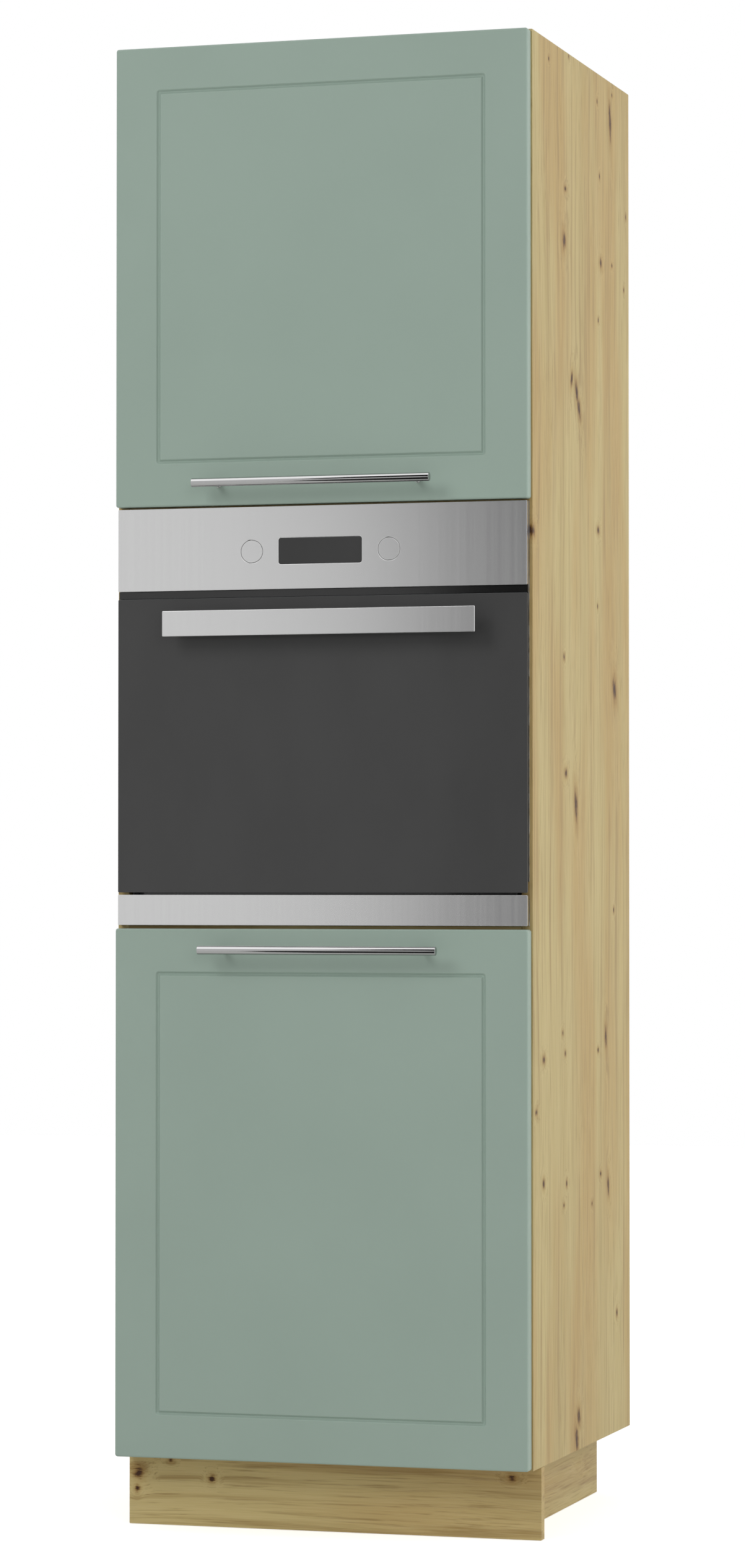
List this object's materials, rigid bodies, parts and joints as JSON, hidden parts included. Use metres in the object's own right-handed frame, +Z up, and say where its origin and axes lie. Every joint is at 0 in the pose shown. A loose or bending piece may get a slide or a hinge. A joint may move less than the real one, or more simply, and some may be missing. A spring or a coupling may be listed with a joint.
{
  "type": "tall oven housing unit",
  "caption": "Tall kitchen housing unit with a built-in oven between an upper and a lower hinged door, on a plinth.",
  "frame": {"origin": "on the floor, halfway across the width and halfway between the handles' front and the back of the carcass", "axes": "+Z up, +X to the right seen from the front, the doors face -Y"},
  "size_m": [0.6, 0.6206, 2.07],
  "materials": {
    "oak_decor": "melamine faced board, light knotty oak decor",
    "back_board": "thin hard board, plain",
    "green_lacquer": "board with matt sage green lacquer",
    "polished_chrome": "polished",
    "zinc_plate": "zinc plated steel",
    "brushed_steel": "fine horizontal brushing",
    "dark_glass": "back-printed dark glass",
    "clear_glass": "clear, coated",
    "grey_plastic": "moulded",
    "black_plastic": "moulded",
    "galvanised_sheet": null,
    "dark_enamel": "speckled vitreous enamel on sheet steel",
    "fibre_seal": "woven glass fibre cord",
    "chrome_wire": "plated wire",
    "lamp_glass": "pressed glass"
  },
  "bodies": {
    "carcass": {"side_panel_left": "oak_decor", "side_panel_right": "oak_decor", "bottom_panel": "oak_decor", "oven_floor_board": "oak_decor", "oven_ceiling_board": "oak_decor", "top_panel": "oak_decor", "back_panel_lower": "back_board", "back_panel_upper": "back_board", "adjustable_shelf_lower": "oak_decor", "adjustable_shelf_upper": "oak_decor", "shelf_pin_lower_left_front": "zinc_plate", "shelf_pin_lower_left_back": "zinc_plate", "shelf_pin_lower_right_front": "zinc_plate", "shelf_pin_lower_right_back": "zinc_plate", "shelf_pin_upper_left_front": "zinc_plate", "shelf_pin_upper_left_back": "zinc_plate", "shelf_pin_upper_right_front": "zinc_plate", "shelf_pin_upper_right_back": "zinc_plate", "plinth_front": "oak_decor", "plinth_left": "oak_decor", "plinth_right": "oak_decor", "upper_hinge_arm_bottom": "zinc_plate", "upper_hinge_arm_top": "zinc_plate", "lower_hinge_arm_bottom": "zinc_plate", "lower_hinge_arm_top": "zinc_plate", "control_panel": "brushed_steel", "display_window": "dark_glass", "control_module": "grey_plastic", "vent_strip": "black_plastic", "bottom_trim": "brushed_steel", "oven_hinge_left": "zinc_plate", "oven_hinge_right": "zinc_plate", "oven_casing": "galvanised_sheet", "oven_cavity": "dark_enamel", "oven_door_seal": "fibre_seal", "side_rack_left": "chrome_wire", "side_rack_right": "chrome_wire", "wire_shelf": "chrome_wire", "fan_cover": "dark_enamel", "grill_element": "chrome_wire", "oven_lamp": "lamp_glass", "terminal_cover": "black_plastic"},
    "upper_door_leaf": {"upper_door": "green_lacquer", "upper_handle": "polished_chrome", "upper_hinge_cup_bottom": "zinc_plate", "upper_hinge_cup_top": "zinc_plate"},
    "lower_door_leaf": {"lower_door": "green_lacquer", "lower_handle": "polished_chrome", "lower_hinge_cup_bottom": "zinc_plate", "lower_hinge_cup_top": "zinc_plate"},
    "oven_door_leaf": {"oven_door_glass": "dark_glass", "oven_door_frame": "galvanised_sheet", "oven_inner_glass": "clear_glass", "oven_handle": "brushed_steel"},
    "left_switch": {"switch_shaft_left": "zinc_plate"},
    "right_switch": {"switch_shaft_right": "zinc_plate"},
    "left_knob": {"knob_left": "brushed_steel"},
    "right_knob": {"knob_right": "brushed_steel"},
    "fan_wheel": {"fan": "galvanised_sheet"}
  },
  "joints": [
    {"name": "upper_door_hinge", "type": "hinge", "parent": "carcass", "child": "upper_door_leaf", "pos_m": [-0.295, -0.2683, 1.74705], "axis": [0, 0, -1], "range_deg": [0, 110]},
    {"name": "lower_door_hinge", "type": "hinge", "parent": "carcass", "child": "lower_door_leaf", "pos_m": [-0.295, -0.2683, 0.4691], "axis": [0, 0, -1], "range_deg": [0, 110]},
    {"name": "oven_door_hinge", "type": "hinge", "parent": "carcass", "child": "oven_door_leaf", "pos_m": [0, -0.2569, 0.8937], "axis": [1, 0, 0], "range_deg": [0, 90]},
    {"name": "left_switch_slide", "type": "slide", "parent": "carcass", "child": "left_switch", "axis": [0, -1, 0], "range_m": [0, 0.018]},
    {"name": "right_switch_slide", "type": "slide", "parent": "carcass", "child": "right_switch", "axis": [0, -1, 0], "range_m": [0, 0.018]},
    {"name": "left_knob_turn", "type": "hinge", "parent": "left_switch", "child": "left_knob", "pos_m": [-0.0993, -0.2634, 1.3602], "axis": [0, -1, 0], "continuous": true},
    {"name": "right_knob_turn", "type": "hinge", "parent": "right_switch", "child": "right_knob", "pos_m": [0.0993, -0.2634, 1.3602], "axis": [0, 1, 0], "range_deg": [0, 270]},
    {"name": "fan_spin", "type": "hinge", "parent": "carcass", "child": "fan_wheel", "pos_m": [0, 0.1717, 1.095], "axis": [0, 1, 0], "continuous": true}
  ]
}
